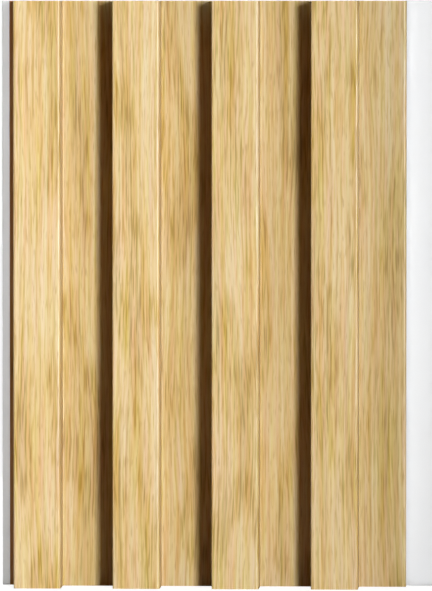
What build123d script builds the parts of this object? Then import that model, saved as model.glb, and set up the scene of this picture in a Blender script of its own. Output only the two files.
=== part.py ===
"""Slat wall panel: a hollow extruded body with square slats, wrapped in a printed film.

The panel stands upright. X runs across the slats, Z along them, and the wall is the plane y = 0.
Depths are counted from the wall out to the front, which faces -Y. The origin is on the wall plane,
at the middle of the width that one panel covers and of its cut length.
"""

import os

from build123d import *

# Slats and grooves, in millimetres
LENGTH = 237.0  # cut length of the piece
SLAT_COUNT = 4
SLAT_PITCH = 40.0  # from one slat to the next
SLAT_WIDTH = 19.0  # over the film
SLAT_HEIGHT = 15.0  # from a groove floor to the slat fronts
SLAT_EDGE_RADIUS = 0.7  # long edges of a slat front, under the film
SLAT_FOOT_RADIUS = 0.6  # where a slat wall meets a groove floor, under the film
FILM_THICKNESS = 0.25

# Walls of the hollow extrusion
WALL = 2.2  # slat walls, slat fronts and webs
BACK_SKIN = 2.2
FLOOR_SKIN = 2.5
FLOOR_CELLS = 2  # chambers side by side under a groove floor
CHAMBER_RADIUS = 0.8

# Joint: the tongue of the next panel goes into the slot over the fixing flange,
# and the flange lies in the rebate behind the first slat of that panel
FLANGE_THICKNESS = 2.5
FLANGE_ROOM = 6.75  # free between the flange tip and the far side of the rebate
TONGUE_THICKNESS = 2.2
TONGUE_REACH = 5.9  # past the outer wall of the first slat
SLOT_LIP = 3.2  # edge of the last groove floor, over the slot
JOINT_CLEARANCE = 0.3
JOINT_GAP = 1.9  # open line between two panels, seen from the front
TIP_RADIUS = 0.6  # edges of the tongue and flange tips
SLOT_RADIUS = 0.4  # inside corners of the slot and the rebate

# Where the film stops
TONGUE_FILM = 2.8  # film on the tongue, from the outer wall of the first slat
FILM_TURN = 1.8  # film turned down over the edge of the last groove floor

# Shallow grooves in the back, which key the adhesive
KEY_COUNT = 8
KEY_PITCH = 16.0
KEY_WIDTH = 4.0
KEY_DEPTH = 0.4

# Places across the panel
cover_width = SLAT_COUNT * SLAT_PITCH
slat_lefts = [i * SLAT_PITCH - cover_width / 2 for i in range(SLAT_COUNT)]
bare_slats = [
    (left + FILM_THICKNESS, left + SLAT_WIDTH - FILM_THICKNESS) for left in slat_lefts
]
tongue_tip = slat_lefts[0] - TONGUE_REACH
rebate_end = bare_slats[0][1] - WALL
floor_end = cover_width / 2 - JOINT_GAP - FILM_THICKNESS
slot_end = tongue_tip + cover_width - JOINT_CLEARANCE
flange_tip = rebate_end + cover_width - FLANGE_ROOM

# Depths, from the wall out
rebate_depth = FLANGE_THICKNESS + JOINT_CLEARANCE
tongue_front = rebate_depth + TONGUE_THICKNESS
slot_front = tongue_front + FILM_THICKNESS + JOINT_CLEARANCE
floor_front = slot_front + SLOT_LIP
slat_front = floor_front + SLAT_HEIGHT

# Front of the extrusion, as the film lies on it: tongue, slats and floors, then the last floor's edge
film_corners = [(slat_lefts[0] - TONGUE_FILM, -tongue_front), (bare_slats[0][0], -tongue_front)]
corner_radii = [SLAT_FOOT_RADIUS]
for left, right in bare_slats:
    film_corners += [(left, -slat_front), (right, -slat_front), (right, -floor_front)]
    corner_radii += [SLAT_EDGE_RADIUS, SLAT_EDGE_RADIUS, SLAT_FOOT_RADIUS]
    if right < bare_slats[-1][1]:
        film_corners.append((left + SLAT_PITCH, -floor_front))
        corner_radii.append(SLAT_FOOT_RADIUS)
film_corners += [(floor_end, -floor_front), (floor_end, FILM_TURN - floor_front)]
corner_radii.append(SLAT_EDGE_RADIUS)

# Rest of the outline: slot, flange, back, rebate and tongue tip, round to where the film starts
bare_corners = [
    film_corners[-1],
    (floor_end, -slot_front),
    (slot_end, -slot_front),
    (slot_end, -FLANGE_THICKNESS),
    (flange_tip, -FLANGE_THICKNESS),
    (flange_tip, 0),
    (rebate_end, 0),
    (rebate_end, -rebate_depth),
    (tongue_tip, -rebate_depth),
    (tongue_tip, -tongue_front),
    film_corners[0],
]
bare_radii = [
    SLOT_RADIUS,
    SLOT_RADIUS,
    SLOT_RADIUS,
    TIP_RADIUS,
    TIP_RADIUS,
    TIP_RADIUS,
    SLOT_RADIUS,
    TIP_RADIUS,
    TIP_RADIUS,
]

# Chambers under the groove floors: between two slats, and from the last slat to the slot
floor_chamber_height = floor_front - FLOOR_SKIN - BACK_SKIN
floor_chamber_y = -(BACK_SKIN + floor_chamber_height / 2)
bare_groove = SLAT_PITCH - SLAT_WIDTH + 2 * FILM_THICKNESS
cell_width = (bare_groove - (FLOOR_CELLS - 1) * WALL) / FLOOR_CELLS
last_cell_left = bare_slats[-1][1]
last_cell_right = slot_end - WALL

# Chambers in the slats, of which the first stops in front of the rebate
slat_chamber_width = SLAT_WIDTH - 2 * FILM_THICKNESS - 2 * WALL
first_chamber_height = slat_front - WALL - tongue_front
slat_chamber_height = slat_front - WALL - BACK_SKIN


with BuildPart() as extruded_profile:
    with BuildSketch() as section:
        with BuildLine() as outline:
            FilletPolyline(*film_corners, radius=corner_radii)
            FilletPolyline(*bare_corners, radius=bare_radii)
        make_face()
        for index, (left, right) in enumerate(bare_slats):
            chamber_height = slat_chamber_height if index else first_chamber_height
            with Locations(((left + right) / 2, WALL - slat_front + chamber_height / 2)):
                RectangleRounded(
                    slat_chamber_width, chamber_height, CHAMBER_RADIUS, mode=Mode.SUBTRACT
                )
        for left, right in bare_slats[:-1]:
            with Locations((right + bare_groove / 2, floor_chamber_y)):
                with GridLocations(cell_width + WALL, 0, FLOOR_CELLS, 1):
                    RectangleRounded(
                        cell_width, floor_chamber_height, CHAMBER_RADIUS, mode=Mode.SUBTRACT
                    )
        with Locations(((last_cell_left + last_cell_right) / 2, floor_chamber_y)):
            RectangleRounded(
                last_cell_right - last_cell_left,
                floor_chamber_height,
                CHAMBER_RADIUS,
                mode=Mode.SUBTRACT,
            )
        with GridLocations(KEY_PITCH, 0, KEY_COUNT, 1):
            Rectangle(KEY_WIDTH, 2 * KEY_DEPTH, mode=Mode.SUBTRACT)
    extrude(amount=LENGTH / 2, both=True)

with BuildPart() as decor_film:
    with BuildSketch() as film_section:
        with BuildLine() as film_line:
            FilletPolyline(*film_corners, radius=corner_radii)
            offset(amount=FILM_THICKNESS, side=Side.RIGHT)
        make_face()
    extrude(amount=LENGTH / 2, both=True)

os.makedirs("parts", exist_ok=True)
extruded_profile.part.label = "extruded_profile"
decor_film.part.label = "decor_film"
export_step(extruded_profile.part, "parts/extruded_profile.step")
export_step(decor_film.part, "parts/decor_film.step")
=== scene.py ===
# %% [markdown]
# # A slat wall panel in light oak
# The panel is a short cut-off of wall cladding: a hollow white plastic extrusion with four square slats,
# wrapped in a printed oak film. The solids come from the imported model. This lesson lays the film over them,
# gives both their finish, and sets up the light and the camera of a plain product photograph.

# %% Load the frame and keep its box
import math

import bmesh
import bpy
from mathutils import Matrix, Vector


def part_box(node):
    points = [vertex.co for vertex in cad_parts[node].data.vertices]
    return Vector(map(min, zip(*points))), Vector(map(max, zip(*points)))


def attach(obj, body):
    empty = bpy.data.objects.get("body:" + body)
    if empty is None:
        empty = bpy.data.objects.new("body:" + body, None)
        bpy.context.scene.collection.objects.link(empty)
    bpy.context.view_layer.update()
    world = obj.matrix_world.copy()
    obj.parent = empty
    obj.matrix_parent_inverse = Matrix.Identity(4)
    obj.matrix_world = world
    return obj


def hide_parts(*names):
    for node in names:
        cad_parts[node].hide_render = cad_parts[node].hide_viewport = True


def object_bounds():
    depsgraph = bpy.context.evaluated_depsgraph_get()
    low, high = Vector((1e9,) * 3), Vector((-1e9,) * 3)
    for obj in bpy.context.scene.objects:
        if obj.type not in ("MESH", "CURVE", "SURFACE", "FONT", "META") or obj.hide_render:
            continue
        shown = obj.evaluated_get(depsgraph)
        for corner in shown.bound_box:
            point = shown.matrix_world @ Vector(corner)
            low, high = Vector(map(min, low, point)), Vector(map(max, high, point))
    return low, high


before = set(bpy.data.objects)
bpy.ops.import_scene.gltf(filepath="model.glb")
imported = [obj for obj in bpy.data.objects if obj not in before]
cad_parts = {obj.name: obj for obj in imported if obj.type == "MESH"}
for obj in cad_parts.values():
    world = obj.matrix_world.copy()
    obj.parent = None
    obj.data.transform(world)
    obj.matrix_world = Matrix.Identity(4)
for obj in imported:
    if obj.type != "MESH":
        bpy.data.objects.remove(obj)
cad_low, cad_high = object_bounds()
print("panel box in mm:", [round(1000 * side) for side in cad_high - cad_low])

# %% [markdown]
# ## Two helpers
# Colours are written as the sRGB hex values that one would pick from a picture, and one function makes them
# linear. A second small function adds a node of any kind: an input that is given a socket is linked, and any
# other value is set on the socket itself. All the trees below, for shapes and for finishes, are built with
# it.

# %% Colours and nodes
def linear(hex_colour):
    channels = [int(hex_colour[i : i + 2], 16) / 255 for i in (1, 3, 5)]
    return [c / 12.92 if c <= 0.04045 else ((c + 0.055) / 1.055) ** 2.4 for c in channels] + [1.0]


def add(tree, kind, inputs=None, **settings):
    node = tree.nodes.new(kind)
    for name, value in settings.items():
        setattr(node, name, value)
    for key, value in (inputs or {}).items():
        if isinstance(value, bpy.types.NodeSocket):
            tree.links.new(value, node.inputs[key])
        else:
            node.inputs[key].default_value = value
    return node


MM = 0.001
print("mid grey in linear light:", round(linear("#808080")[0], 3))

# %% [markdown]
# ## The fold line of the film
# On the real panel a line of heated rollers presses the printed film round every corner of the extrusion, in
# one piece. It could be modelled as boxes for slats and floors, but then the print would break at each
# corner. So the film is one strip, drawn from a line that follows the section and has a corner at each fold.
# The radius of each corner is kept in the radius of its curve point, because outside folds are rounder than
# inside ones.

# %% Corners of the section, over the film
SLAT_COUNT = 4
SLAT_PITCH = 40.0 * MM
SLAT_WIDTH = 19.0 * MM
SLAT_HEIGHT = 15.0 * MM
FILM_THICKNESS = 0.25 * MM
EDGE_RADIUS = 0.95 * MM  # outside folds, along the slat fronts
FOOT_RADIUS = 0.35 * MM  # inside folds, along the groove floors
TONGUE_FILM = 2.8 * MM  # film on the tongue, left of the first slat
FILM_TURN = 1.8 * MM  # film turned down over the edge of the last floor

film_low, film_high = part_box("decor_film")
slat_lefts = [film_low.x + TONGUE_FILM + i * SLAT_PITCH for i in range(SLAT_COUNT)]
slat_front = film_low.y
groove_floor = slat_front + SLAT_HEIGHT
tongue_face = film_high.y - FILM_THICKNESS

folds = [(film_low.x, tongue_face, 0.0), (slat_lefts[0], tongue_face, FOOT_RADIUS)]
for left in slat_lefts:
    right = left + SLAT_WIDTH
    folds += [(left, slat_front, EDGE_RADIUS), (right, slat_front, EDGE_RADIUS)]
    folds += [(right, groove_floor, FOOT_RADIUS), (left + SLAT_PITCH, groove_floor, FOOT_RADIUS)]
folds[-1] = (film_high.x, groove_floor, EDGE_RADIUS)
folds.append((film_high.x, groove_floor + FILM_THICKNESS + FILM_TURN, 0.0))
print("folds in the film:", len(folds) - 2)

# %% The line itself
fold_curve = bpy.data.curves.new("fold_line", "CURVE")
fold_curve.dimensions = "3D"
fold_spline = fold_curve.splines.new("POLY")
fold_spline.points.add(len(folds) - 1)
for point, (x, y, radius) in zip(fold_spline.points, folds):
    point.co = (x, y, film_low.z, 1.0)
    point.radius = radius
fold_line = bpy.data.objects.new("fold_line", fold_curve)
bpy.context.scene.collection.objects.link(fold_line)
print("points on the fold line:", len(fold_spline.points))

# %% [markdown]
# ## From line to film
# The shape follows a rule, so Geometry Nodes can make it: round the corners, draw the line up to the panel's
# length, give the strip its thickness. Before the line becomes a strip its running length is captured.
# Together with the height that is the film laid out flat, so the print can later run round every corner, as
# it does on a wrapped panel.

# %% Inputs of the film's tree
film_tree = bpy.data.node_groups.new("wrapped_film", "GeometryNodeTree")
for name, kind in (
    ("Fold line", "NodeSocketGeometry"),
    ("Length", "NodeSocketFloat"),
    ("Thickness", "NodeSocketFloat"),
    ("Arc steps", "NodeSocketInt"),
    ("Finish", "NodeSocketMaterial"),
):
    film_tree.interface.new_socket(name, in_out="INPUT", socket_type=kind)
film_tree.interface.new_socket("Film", in_out="OUTPUT", socket_type="NodeSocketGeometry")
given = add(film_tree, "NodeGroupInput").outputs
print("inputs of the film's tree:", [socket.name for socket in given if socket.name])

# %% Round the folds and measure along them
corner_radius = add(film_tree, "GeometryNodeInputRadius").outputs[0]
rounded = add(
    film_tree,
    "GeometryNodeFilletCurve",
    {"Curve": given["Fold line"], "Count": given["Arc steps"], "Radius": corner_radius, "Limit Radius": True},
    mode="POLY",
)
running_length = add(film_tree, "GeometryNodeSplineParameter").outputs["Length"]
measured = add(film_tree, "GeometryNodeCaptureAttribute", {0: rounded.outputs[0]}, domain="POINT")
measured.capture_items.new("FLOAT", "Across")
film_tree.links.new(running_length, measured.inputs["Across"])
line_mesh = add(film_tree, "GeometryNodeCurveToMesh", {"Curve": measured.outputs[0]})
print("captured along the line:", [item.name for item in measured.capture_items])

# %% Draw the strip up and keep it laid flat
upwards = add(film_tree, "ShaderNodeCombineXYZ", {"Z": given["Length"]})
strip = add(
    film_tree,
    "GeometryNodeExtrudeMesh",
    {"Mesh": line_mesh.outputs[0], "Offset": upwards.outputs[0], "Offset Scale": 1.0},
    mode="EDGES",
)
point_place = add(film_tree, "GeometryNodeInputPosition").outputs[0]
height = add(film_tree, "ShaderNodeSeparateXYZ", {0: point_place}).outputs["Z"]
laid_flat = add(film_tree, "ShaderNodeCombineXYZ", {"X": measured.outputs["Across"], "Y": height})
mapped = add(
    film_tree,
    "GeometryNodeStoreNamedAttribute",
    {"Geometry": strip.outputs[0], "Name": "laid_flat", "Value": laid_flat.outputs[0]},
    data_type="FLOAT2",
    domain="CORNER",
)
print("the film is laid flat in the map:", mapped.inputs["Name"].default_value)

# %% Give it thickness and close it
MERGE_DISTANCE = 0.001 * MM
thick = add(
    film_tree,
    "GeometryNodeExtrudeMesh",
    {"Mesh": mapped.outputs[0], "Offset Scale": given["Thickness"], "Individual": False},
    mode="FACES",
)
outer_side = add(film_tree, "GeometryNodeFlipFaces", {"Mesh": mapped.outputs[0]})
both_sides = add(film_tree, "GeometryNodeJoinGeometry")
film_tree.links.new(thick.outputs[0], both_sides.inputs[0])
film_tree.links.new(outer_side.outputs[0], both_sides.inputs[0])
closed = add(
    film_tree, "GeometryNodeMergeByDistance", {"Geometry": both_sides.outputs[0], "Distance": MERGE_DISTANCE}
)
print("sides joined:", len(both_sides.inputs[0].links))

# %% [markdown]
# A strip made of long quads shades badly if everything is smooth: the rounded corners pull the normals of the
# flat faces round, and the cut ends tilt the normals of the whole length. So faces that look straight along
# an axis are shaded flat, and edges that turn by more than 40 degrees, which are those of the cut ends, are
# marked sharp. Only the small arcs stay smooth, and they catch a clean line of light along the slats.

# %% Find the flat faces
FLAT_ENOUGH = 0.9999  # largest part of a unit normal
facing = add(film_tree, "GeometryNodeInputNormal").outputs[0]
facing_size = add(film_tree, "ShaderNodeVectorMath", {0: facing}, operation="ABSOLUTE")
facing_parts = add(film_tree, "ShaderNodeSeparateXYZ", {0: facing_size.outputs[0]}).outputs
largest_part = facing_parts["X"]
for part in ("Y", "Z"):
    larger = add(film_tree, "ShaderNodeMath", {0: largest_part, 1: facing_parts[part]}, operation="MAXIMUM")
    largest_part = larger.outputs[0]
is_flat = add(film_tree, "FunctionNodeCompare", {0: largest_part, 1: FLAT_ENOUGH}, operation="GREATER_THAN")
print("a face is flat when its largest part is over", FLAT_ENOUGH)

# %% Shade them flat, crease the cut ends and dress the film
SHARP_ANGLE = math.radians(40)
shaded = add(
    film_tree,
    "GeometryNodeSetShadeSmooth",
    {"Geometry": closed.outputs[0], "Selection": is_flat.outputs[0], "Shade Smooth": False},
    domain="FACE",
)
edge_angle = add(film_tree, "GeometryNodeInputMeshEdgeAngle").outputs["Unsigned Angle"]
is_cut = add(
    film_tree, "FunctionNodeCompare", {0: edge_angle, 1: SHARP_ANGLE}, operation="GREATER_THAN"
)
creased = add(
    film_tree,
    "GeometryNodeSetShadeSmooth",
    {"Geometry": shaded.outputs[0], "Selection": is_cut.outputs[0], "Shade Smooth": False},
    domain="EDGE",
)
realized = add(film_tree, "GeometryNodeRealizeInstances", {0: creased.outputs[0]})
dressed = add(
    film_tree, "GeometryNodeSetMaterial", {"Geometry": realized.outputs[0], "Material": given["Finish"]}
)
add(film_tree, "NodeGroupOutput", {0: dressed.outputs[0]})
print("nodes in the film's tree:", len(film_tree.nodes))

# %% [markdown]
# ## The oak print
# The film is a thin PVC foil, printed by gravure rollers with oak in three or four inks, embossed with fine
# pores and varnished to a satin. The eye sees flat, fine grain with a soft sheen, and a clean line of light
# along each rounded edge. A photograph of veneer would need an image, and here the grain is drawn by rule
# instead. Each of its parts is a noise whose cells are stretched along the slats, with sizes taken from real
# oak in millimetres. All of them share one bent coordinate, so that strokes and pores lean together round the
# figure as real grain does.

# %% The print's coordinates
oak_film = bpy.data.materials.new("satin_oak_print_film")
oak_film.use_nodes = True
oak = oak_film.node_tree
oak_shader = oak.nodes["Principled BSDF"]
FIGURE_WIDTH = 22.0  # millimetres across the grain
FIGURE_LENGTH = 120.0  # and along it
BEND_REACH = 5.0 * MM


def cells(width, length):
    """Scale that makes a noise cell this wide across the grain and this long along it, in millimetres."""
    return (1 / (width * MM), 1 / (length * MM), 1.0)


flat_map = add(oak, "ShaderNodeUVMap", uv_map="laid_flat").outputs[0]
figure_place = add(
    oak, "ShaderNodeVectorMath", {0: flat_map, 1: cells(FIGURE_WIDTH, FIGURE_LENGTH)}, operation="MULTIPLY"
)
figure = add(
    oak,
    "ShaderNodeTexNoise",
    {"Vector": figure_place.outputs[0], "Scale": 1.0, "Detail": 1.0, "Roughness": 0.35},
    noise_dimensions="2D",
).outputs[0]
off_middle = add(oak, "ShaderNodeMath", {0: figure, 1: 0.5}, operation="SUBTRACT")
bend = add(oak, "ShaderNodeMath", {0: off_middle.outputs[0], 1: BEND_REACH}, operation="MULTIPLY")
bend_across = add(oak, "ShaderNodeCombineXYZ", {"X": bend.outputs[0]})
grain = add(oak, "ShaderNodeVectorMath", {0: flat_map, 1: bend_across.outputs[0]}, operation="ADD").outputs[0]
print("grain leans by up to", BEND_REACH / MM / 2, "mm")

# %% [markdown]
# Oak cut flat shows growth rings as tall ovals and arches, here the level lines of the figure noise: each
# ring starts with a darker, open-pored zone and goes over into paler, denser wood. The open zone carries most
# of the fine brown strokes. So the strokes get deeper where a ring is dark and fade in the pale ovals, which
# keeps the print from looking like even noise. Real pores are about 0.3 mm wide, less than a pixel here, and
# are drawn at half a millimetre so that they show.

# %% Layers of the grain
LAYER_SHIFT = (7.3, 3.7)  # cells from one layer to the next, so that no two repeat each other
layers = {}
for name, width, length, detail in (  # width and length of a cell in millimetres
    ("band", 10.0, 150.0, 1.0),
    ("stroke", 0.75, 15.0, 1.0),
    ("fibre", 1.1, 90.0, 1.0),
    ("pore", 0.55, 7.0, 1.0),
    ("tint", 1.6, 50.0, 1.0),
    ("richness", 2.4, 70.0, 1.0),
):
    layer_place = add(oak, "ShaderNodeMapping", {"Vector": grain, "Scale": cells(width, length)})
    layer_place.inputs["Location"].default_value = (*[shift * len(layers) for shift in LAYER_SHIFT], 0.0)
    layers[name] = add(
        oak,
        "ShaderNodeTexNoise",
        {"Vector": layer_place.outputs[0], "Scale": 1.0, "Detail": detail, "Roughness": 0.5},
        noise_dimensions="2D",
    ).outputs[0]
print("print layers:", ", ".join(layers))

# %% Growth rings
RING_COUNT = 2.6  # rings from the lowest to the highest value of the figure
RING_DARK = 0.3
RING_PALE = 0.68
RING_LATE = 0.62
ring_steps = add(oak, "ShaderNodeMath", {0: figure, 1: RING_COUNT}, operation="MULTIPLY")
ring_place = add(oak, "ShaderNodeMath", {0: ring_steps.outputs[0]}, operation="FRACT")
ring_ramp = add(oak, "ShaderNodeValToRGB", {0: ring_place.outputs[0]})
ring_ramp.color_ramp.interpolation = "EASE"
ring_stops = ring_ramp.color_ramp.elements
for stop in ring_stops:
    stop.color = (RING_DARK, RING_DARK, RING_DARK, 1.0)
for place, grey in ((0.25, RING_PALE), (0.6, RING_LATE)):
    ring_stops.new(place).color = (grey, grey, grey, 1.0)
layers["ring"] = ring_ramp.outputs[0]
print("ring stops:", [round(stop.position, 2) for stop in ring_stops])

# %% Strokes in the rings, and pores
STROKE_RANGE = {"From Min": 0.45, "From Max": 0.8}  # noise values from no mark to a full one
PORE_RANGE = {"From Min": 0.6, "From Max": 0.8}
STROKE_IN_DARK = 0.67
STROKE_IN_PALE = 0.3
stroke_mark = add(oak, "ShaderNodeMapRange", {"Value": layers["stroke"], **STROKE_RANGE})
stroke_depth = add(
    oak,
    "ShaderNodeMapRange",
    {
        "Value": layers["ring"],
        "From Min": RING_DARK,
        "From Max": RING_PALE,
        "To Min": STROKE_IN_DARK,
        "To Max": STROKE_IN_PALE,
    },
)
strokes = add(
    oak, "ShaderNodeMath", {0: stroke_mark.outputs[0], 1: stroke_depth.outputs[0]}, operation="MULTIPLY"
)
pore_mark = add(oak, "ShaderNodeMapRange", {"Value": layers["pore"], **PORE_RANGE})
print("strokes are", round(STROKE_IN_DARK / STROKE_IN_PALE, 1), "times deeper in the dark of a ring")

# %% [markdown]
# The layers add up to one tone, and the tone picks a colour between the print's darkest and palest ink. The
# brown of the strokes is more saturated than the cream between them. Two slow layers then shift the hue
# between peach and straw and the richness of the colour, as the overlaid inks do, and the pores are set in
# last.

# %% One tone
PLAIN_TONE = 0.63  # where nothing is printed over the ground
TONE_SHARES = (("band", 0.4), ("ring", 0.58), ("fibre", 0.62))
tone = add(oak, "ShaderNodeMath", {0: PLAIN_TONE, 1: strokes.outputs[0]}, operation="SUBTRACT").outputs[0]
for name, share in TONE_SHARES:
    from_middle = add(oak, "ShaderNodeMath", {0: layers[name], 1: 0.5}, operation="SUBTRACT").outputs[0]
    tone = add(oak, "ShaderNodeMath", {0: from_middle, 1: share, 2: tone}, operation="MULTIPLY_ADD").outputs[0]
print("layers in the tone:", 1 + len(TONE_SHARES))

# %% Inks
INKS = ((0.05, "#BC984E"), (0.35, "#D6B36C"), (0.5, "#E1BF7E"), (0.65, "#EACB91"), (0.95, "#F5DDB0"))
HUE_RANGE = {"To Min": 0.475, "To Max": 0.525}  # 0.5 leaves the hue as it is
RICHNESS_RANGE = {"To Min": 0.8, "To Max": 1.18}  # and 1 the saturation
PORE_INK = 0.45  # how far a pore hides the print


def fill_ramp(ramp, stops):
    """Gives a colour ramp these stops, as pairs of a place between 0 and 1 and a colour, and no others."""
    for place, colour in stops:
        ramp.elements.new(place).color = linear(colour)
    ramp.elements.remove(ramp.elements[0])
    ramp.elements.remove(ramp.elements[-1])


inks = add(oak, "ShaderNodeValToRGB", {0: tone})
fill_ramp(inks.color_ramp, INKS)
hue = add(oak, "ShaderNodeMapRange", {"Value": layers["tint"], **HUE_RANGE})
richness = add(oak, "ShaderNodeMapRange", {"Value": layers["richness"], **RICHNESS_RANGE})
tinted = add(
    oak,
    "ShaderNodeHueSaturation",
    {"Hue": hue.outputs[0], "Saturation": richness.outputs[0], "Color": inks.outputs[0]},
)
pore_ink = add(oak, "ShaderNodeMath", {0: pore_mark.outputs[0], 1: PORE_INK}, operation="MULTIPLY")
printed = add(
    oak,
    "ShaderNodeMix",
    {0: pore_ink.outputs[0], 6: tinted.outputs[0], 7: linear("#BC8F48")},
    data_type="RGBA",
)
print("ink stops:", [round(stop.position, 2) for stop in inks.color_ramp.elements])

# %% [markdown]
# In the grooves shade is painted into the print: the side walls of the slats are painted browner, and the
# groove floors a little greyer, than the angle of the light makes them, and the film on the tongue is painted
# a dark red-brown, as painted shade in the joint between two panels. The painted shade steps by depth behind
# the slat fronts, near each of these faces. Object coordinates give the depth, because the panel stands at
# the origin with its wall along Y.

# %% Painted shade on walls, floors and tongue
# painted shade by depth: white leaves the fronts as printed, the other stops darken walls, floors and tongue
PAINTED_SHADE_BY_DEPTH = (  # millimetres behind the slat fronts, and tone
    (0.75, "#FFFFFF"),
    (1.8, "#D4C498"),
    (14.25, "#D0BF92"),
    (15.0, "#F0F1EA"),
    (17.5, "#F0F1EA"),
    (18.3, "#D2AC94"),
)
film_place = add(oak, "ShaderNodeTexCoord").outputs["Object"]
film_depth = add(oak, "ShaderNodeSeparateXYZ", {0: film_place}).outputs["Y"]
depth_share = add(
    oak, "ShaderNodeMapRange", {"Value": film_depth, "From Min": slat_front, "From Max": tongue_face}
)
painted_shade_ramp = add(oak, "ShaderNodeValToRGB", {0: depth_share.outputs[0]})
tongue_depth = tongue_face - slat_front
fill_ramp(painted_shade_ramp.color_ramp, [(depth * MM / tongue_depth, colour) for depth, colour in PAINTED_SHADE_BY_DEPTH])
# the painted shade darkens the print in the grooves and on the tongue
shade_painted_print = add(
    oak,
    "ShaderNodeMix",
    {0: 1.0, 6: printed.outputs[2], 7: painted_shade_ramp.outputs[0]},
    data_type="RGBA",
    blend_type="MULTIPLY",
)
oak.links.new(shade_painted_print.outputs[2], oak_shader.inputs["Base Color"])
print("depth of the tongue in mm:", round(tongue_depth / MM, 2))

# %% [markdown]
# The embossing roller presses the strokes and pores about two hundredths of a millimetre into the foil, and
# the varnish lies thinner and duller in them. Between them the foil has the faint waviness that wrapping
# leaves. One height adds these up for the bump, and the strokes also raise the roughness a little.

# %% Satin varnish and embossing
EMBOSS_DEPTH = 0.02 * MM
EMBOSS_STRENGTH = 0.5
SATIN_RANGE = {"To Min": 0.31, "To Max": 0.42}  # roughness of the varnish, and in the strokes
WAVE_WIDTH = 3.0  # millimetres across the grain
WAVE_LENGTH = 12.0
wave_place = add(oak, "ShaderNodeMapping", {"Vector": flat_map, "Scale": cells(WAVE_WIDTH, WAVE_LENGTH)})
wave = add(
    oak,
    "ShaderNodeTexNoise",
    {"Vector": wave_place.outputs[0], "Scale": 1.0, "Detail": 1.0, "Roughness": 0.5},
    noise_dimensions="2D",
).outputs[0]
pressed = add(
    oak, "ShaderNodeMath", {0: stroke_mark.outputs[0], 1: pore_mark.outputs[0]}, operation="MAXIMUM"
)
relief = add(oak, "ShaderNodeMath", {0: wave, 1: pressed.outputs[0]}, operation="SUBTRACT")
embossed = add(
    oak,
    "ShaderNodeBump",
    {"Height": relief.outputs[0], "Strength": EMBOSS_STRENGTH, "Distance": EMBOSS_DEPTH},
)
dullness = add(oak, "ShaderNodeMapRange", {"Value": pressed.outputs[0], **SATIN_RANGE})
oak.links.new(embossed.outputs[0], oak_shader.inputs["Normal"])
oak.links.new(dullness.outputs[0], oak_shader.inputs["Roughness"])
print("nodes in the oak print:", len(oak.nodes))

# %% [markdown]
# ## Laying the film on
# The tree is run on the fold line as a modifier. Its inputs are set by their identifiers, and the result is
# taken as a plain mesh, which replaces the film's solid in the frame and rides on the one body that the panel
# has.

# %% Make the film
ARC_STEPS = 8
input_keys = {item.name: item.identifier for item in film_tree.interface.items_tree}
wrap = fold_line.modifiers.new("wrap", "NODES")
wrap.node_group = film_tree
wrap[input_keys["Length"]] = film_high.z - film_low.z
wrap[input_keys["Thickness"]] = FILM_THICKNESS
wrap[input_keys["Arc steps"]] = ARC_STEPS
wrap[input_keys["Finish"]] = oak_film
depsgraph = bpy.context.evaluated_depsgraph_get()
film_mesh = bpy.data.meshes.new_from_object(fold_line.evaluated_get(depsgraph))
bpy.data.objects.remove(fold_line)
film = bpy.data.objects.new("oak_film", film_mesh)
bpy.context.scene.collection.objects.link(film)
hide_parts("decor_film")
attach(film, "root")
frontmost = min(film_mesh.polygons, key=lambda face: face.center.y)
print("film faces:", len(film_mesh.polygons))
print("front faces along", [round(part, 2) for part in frontmost.normal])

# %% [markdown]
# ## The white extrusion
# The body is foamed PVC with some wood fibre, pushed through a die and cooled against a calibrator. Its skin
# is white and dull, with faint lines drawn along the length by the die, and light goes a little way into it,
# which brightens the thin tongue and flange. The saw opens the skin at both ends and shows the creamy foam,
# with cells of a few tenths of a millimetre. The solid from the model already has this shape, so only a
# material is needed. It tells the sawn ends from the skin by the direction that a face looks in.

# %% Skin and sawn ends
white_pvc = bpy.data.materials.new("foamed_white_pvc")
white_pvc.use_nodes = True
pvc = white_pvc.node_tree
pvc_shader = pvc.nodes["Principled BSDF"]
DIE_LINE = 0.9 * MM
DIE_LINE_LENGTH = 300.0 * MM
FOAM_CELL = 0.45 * MM
SAWN_RANGE = {"From Min": 0.7, "From Max": 0.9}  # how squarely a face looks along the panel
pvc_coordinates = add(pvc, "ShaderNodeTexCoord").outputs
end_facing = add(pvc, "ShaderNodeSeparateXYZ", {0: pvc_coordinates["Normal"]}).outputs["Z"]
end_facing_size = add(pvc, "ShaderNodeMath", {0: end_facing}, operation="ABSOLUTE")
sawn = add(pvc, "ShaderNodeMapRange", {"Value": end_facing_size.outputs[0], **SAWN_RANGE})
die_place = add(
    pvc,
    "ShaderNodeMapping",
    {"Vector": pvc_coordinates["Object"], "Scale": (1 / DIE_LINE, 1 / DIE_LINE, 1 / DIE_LINE_LENGTH)},
)
die_lines = add(pvc, "ShaderNodeTexNoise", {"Vector": die_place.outputs[0], "Scale": 1.0, "Detail": 2.0})
foam = add(
    pvc, "ShaderNodeTexNoise", {"Vector": pvc_coordinates["Object"], "Scale": 1 / FOAM_CELL, "Detail": 1.0}
)
relief_kind = add(
    pvc, "ShaderNodeMix", {0: sawn.outputs[0], 2: die_lines.outputs[0], 3: foam.outputs[0]}, data_type="FLOAT"
)
print("foam cells of", FOAM_CELL / MM, "mm at the sawn ends")

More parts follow.
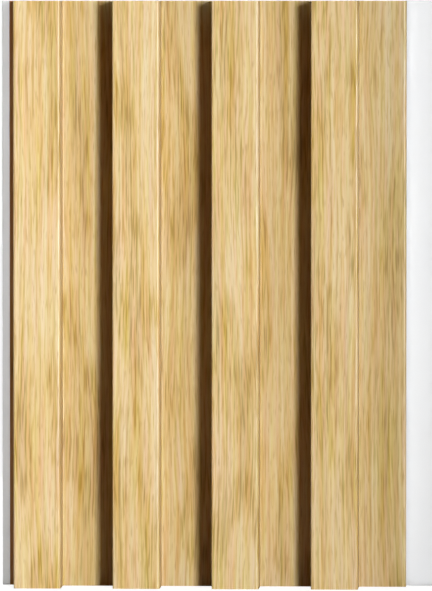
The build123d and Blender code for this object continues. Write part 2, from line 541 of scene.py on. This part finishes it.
# %% Colour of the plastic
CLOUD = 30.0 * MM
clouds = add(
    pvc, "ShaderNodeTexNoise", {"Vector": pvc_coordinates["Object"], "Scale": 1 / CLOUD, "Detail": 1.0}
)
skin = add(
    pvc,
    "ShaderNodeMix",
    {0: clouds.outputs[0], 6: linear("#EFF0F1"), 7: linear("#E9EAEC")},
    data_type="RGBA",
)
open_foam = add(
    pvc,
    "ShaderNodeMix",
    {0: foam.outputs[0], 6: linear("#D8D3C6"), 7: linear("#F2EFE6")},
    data_type="RGBA",
)
body_colour = add(
    pvc, "ShaderNodeMix", {0: sawn.outputs[0], 6: skin.outputs[2], 7: open_foam.outputs[2]}, data_type="RGBA"
)
print("clouds of", CLOUD / MM, "mm in the white")

# %% Dullness and relief of the plastic
SKIN_DULLNESS = {"To Min": 0.48, "To Max": 0.62}
SAWN_DULLNESS = 0.85
RELIEF_DEPTHS = {"To Min": 0.01 * MM, "To Max": 0.12 * MM}  # die lines, and open foam
RELIEF_STRENGTH = 0.6
skin_dullness = add(pvc, "ShaderNodeMapRange", {"Value": die_lines.outputs[0], **SKIN_DULLNESS})
body_dullness = add(
    pvc, "ShaderNodeMix", {0: sawn.outputs[0], 2: skin_dullness.outputs[0], 3: SAWN_DULLNESS}, data_type="FLOAT"
)
relief_depth = add(pvc, "ShaderNodeMapRange", {"Value": sawn.outputs[0], **RELIEF_DEPTHS})
body_relief = add(
    pvc,
    "ShaderNodeBump",
    {"Height": relief_kind.outputs[0], "Strength": RELIEF_STRENGTH, "Distance": relief_depth.outputs[0]},
)
print("relief in mm:", [round(depth / MM, 2) for depth in RELIEF_DEPTHS.values()])

# %% Finish the white plastic and put it on
LIGHT_SHARE = 0.8  # of the light that goes into the plastic before it comes back
LIGHT_REACH = 3.0 * MM
for socket, node, output in (
    ("Base Color", body_colour, 2),
    ("Roughness", body_dullness, 0),
    ("Normal", body_relief, 0),
):
    pvc.links.new(node.outputs[output], pvc_shader.inputs[socket])
pvc_shader.inputs["Subsurface Weight"].default_value = LIGHT_SHARE
pvc_shader.inputs["Subsurface Radius"].default_value = (1.0, 1.0, 1.0)
pvc_shader.inputs["Subsurface Scale"].default_value = LIGHT_REACH
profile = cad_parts["extruded_profile"]
profile.data.materials.clear()
profile.data.materials.append(white_pvc)
print("nodes in the white plastic:", len(pvc.nodes))

# %% [markdown]
# ## Floor
# The panel was photographed upright against white, and little light came up from below: the grooves are
# nearly black. A white floor would throw light into them. So the plain floor has a grey paint that glows to
# the camera, which makes it as pale as the white behind it, without more light on the panel, and it still
# takes the shadow. A mirror-like ray sees the glow only on the floor behind the panel, where the backdrop
# would stand, because from the front part it would bring light into the grooves again.

# %% A plain floor
FLOOR_HALF = 4.0  # metres
floor_mesh = bpy.data.meshes.new("studio_floor")
floor_shape = bmesh.new()
bmesh.ops.create_grid(floor_shape, x_segments=1, y_segments=1, size=FLOOR_HALF)
bmesh.ops.translate(floor_shape, verts=floor_shape.verts, vec=(0, 0, cad_low.z))
floor_shape.to_mesh(floor_mesh)
floor_shape.free()
floor = bpy.data.objects.new("studio_floor", floor_mesh)
bpy.context.scene.collection.objects.link(floor)
print("floor at", round(cad_low.z / MM, 1), "mm")

# %% Its paint
FLOOR_DULLNESS = 0.9
FLOOR_GLOW = 0.93  # to the camera, where 1 is white
floor_paint = bpy.data.materials.new("pale_floor_paint")
floor_paint.use_nodes = True
floor_tree = floor_paint.node_tree
floor_shader = floor_tree.nodes["Principled BSDF"]
floor_shader.inputs["Base Color"].default_value = linear("#787876")
floor_shader.inputs["Roughness"].default_value = FLOOR_DULLNESS
floor_shader.inputs["Emission Color"].default_value = linear("#FFFFFF")
floor_rays = add(floor_tree, "ShaderNodeLightPath").outputs
floor_place = add(floor_tree, "ShaderNodeTexCoord").outputs["Object"]
floor_depth = add(floor_tree, "ShaderNodeSeparateXYZ", {0: floor_place}).outputs["Y"]
behind_panel = add(floor_tree, "ShaderNodeMath", {0: floor_depth, 1: cad_high.y}, operation="GREATER_THAN")
floor_mirrored = add(
    floor_tree,
    "ShaderNodeMath",
    {0: floor_rays["Is Glossy Ray"], 1: behind_panel.outputs[0]},
    operation="MULTIPLY",
)
floor_seen = floor_mirrored.outputs[0]
for ray in ("Is Camera Ray", "Is Transmission Ray"):
    either_ray = add(floor_tree, "ShaderNodeMath", {0: floor_rays[ray], 1: floor_seen}, operation="MAXIMUM")
    floor_seen = either_ray.outputs[0]
floor_glow = add(floor_tree, "ShaderNodeMath", {0: floor_seen, 1: FLOOR_GLOW}, operation="MULTIPLY")
floor_tree.links.new(floor_glow.outputs[0], floor_shader.inputs["Emission Strength"])
floor_mesh.materials.append(floor_paint)
print("floor glows to the camera with", FLOOR_GLOW)

# %% [markdown]
# ## White behind
# The world is white where the camera looks past the panel and nearly dark as a light, because the shadows in
# the grooves of the photograph are deep. A mirror-like ray sees the white only straight behind the panel,
# where the backdrop would stand.

# %% World
AMBIENT = 0.003
BACKDROP_RANGE = {"From Min": 0.97, "From Max": 0.995}  # how straight backwards a ray goes
world = bpy.data.worlds.new("white_studio")
bpy.context.scene.world = world
world.use_nodes = True
room = world.node_tree
rays = add(room, "ShaderNodeLightPath").outputs
direction = add(room, "ShaderNodeTexCoord").outputs["Generated"]
towards_back = add(room, "ShaderNodeSeparateXYZ", {0: direction}).outputs["Y"]
backdrop = add(room, "ShaderNodeMapRange", {"Value": towards_back, **BACKDROP_RANGE})
mirrored = add(
    room, "ShaderNodeMath", {0: rays["Is Glossy Ray"], 1: backdrop.outputs[0]}, operation="MULTIPLY"
)
seen = mirrored.outputs[0]
for ray in ("Is Camera Ray", "Is Transmission Ray"):
    seen = add(room, "ShaderNodeMath", {0: rays[ray], 1: seen}, operation="MAXIMUM").outputs[0]
room_light = add(room, "ShaderNodeMapRange", {"Value": seen, "To Min": AMBIENT, "To Max": 1.0})
room_glow = room.nodes["Background"]
room_glow.inputs["Color"].default_value = linear("#FFFFFF")
room.links.new(room_light.outputs[0], room_glow.inputs["Strength"])
print("ambient light:", AMBIENT)

# %% [markdown]
# ## Lamps
# The shadows tell where the light stood. Each slat throws a shadow to its left that is a little under half as
# wide as the slat is high, with a soft edge, so one softbox stood about 25 degrees to the right and hardly
# higher than the panel. It is turned a little to the left, and the panel gets darker to the right as in the
# photograph. A narrow box at the left gives the tongue and its film their dim light. One behind shines
# through the thin white edges, and a small one above, a little behind the panel, lights the sawn ends without
# reaching the fronts. The bare white edges glow in the photograph while the grooves stay dark. So a last one,
# in front, lights only the white plastic.

# %% Softboxes
def softbox(name, place, aim, width, height, watts, spread):
    """Adds a lamp of this size in metres, with the spread of its beam in degrees."""
    data = bpy.data.lights.new(name, "AREA")
    data.shape = "RECTANGLE"
    data.size = width
    data.size_y = height
    data.energy = watts
    data.spread = math.radians(spread)
    box = bpy.data.objects.new(name, data)
    box.location = place
    box.rotation_euler = (Vector(aim) - Vector(place)).to_track_quat("-Z", "Y").to_euler()
    box.visible_camera = False
    bpy.context.scene.collection.objects.link(box)
    print(name, "at", [round(value, 2) for value in place], "with", watts, "W")
    return box


softbox("key", (0.86, slat_front - 1.86, 0.15), (-0.42, slat_front, 0.0), 0.36, 0.7, 4.52, 45)
softbox("left_fill", (-0.65, slat_front - 0.2, 0.1), (-0.05, slat_front, 0.0), 0.12, 0.7, 0.21, 50)
softbox("back", (-0.12, 0.6, 0.1), (-0.1, 0.0, 0.0), 0.3, 0.8, 0.95, 50)
softbox("top", (0.0, 0.12, 0.95), (0.0, 0.03, cad_high.z), 0.3, 0.1, 0.1, 25)

# %% A lamp for the white plastic alone
white_plastic = bpy.data.collections.new("white_plastic")
white_plastic.objects.link(profile)
edge_fill = softbox("edge_fill", (-0.15, slat_front - 0.8, 0.05), (-0.086, 0.0, 0.0), 0.3, 0.7, 0.29, 36)
edge_fill.light_linking.receiver_collection = white_plastic

# %% [markdown]
# ## Camera
# The slats are nearly as wide at the bottom of the photograph as at the top, so the camera stood far away. It
# shows a sliver of each slat's right wall, and the slat ends step down at the bottom but not at the top. So
# it stood a little to the right, level with the top edge. The lens follows from the scale at the slat fronts.

# %% Photograph's view
PHOTO_HEIGHT = 591
PIXELS_PER_METRE = 2489.9  # at the slat fronts
SENSOR = 36.0  # millimetres
DISTANCE = 2.86
STAND_RIGHT = 0.134  # of the middle of the panel
STAND_HEIGHT = 0.119  # over the middle of the panel
AIM_RIGHT = 0.0018
camera_data = bpy.data.cameras.new("photo_camera")
camera_data.sensor_width = SENSOR
camera_data.lens = PIXELS_PER_METRE * DISTANCE * SENSOR / PHOTO_HEIGHT
camera_data.clip_end = 50.0
camera = bpy.data.objects.new("photo_camera", camera_data)
camera_aim = Vector((AIM_RIGHT, slat_front, 0.0))
camera.location = (STAND_RIGHT, slat_front - DISTANCE, STAND_HEIGHT)
camera.rotation_euler = (camera_aim - camera.location).to_track_quat("-Z", "Y").to_euler()
bpy.context.scene.collection.objects.link(camera)
bpy.context.scene.camera = camera
bpy.context.scene.view_settings.view_transform = "Standard"
print("lens in mm:", round(camera_data.lens))
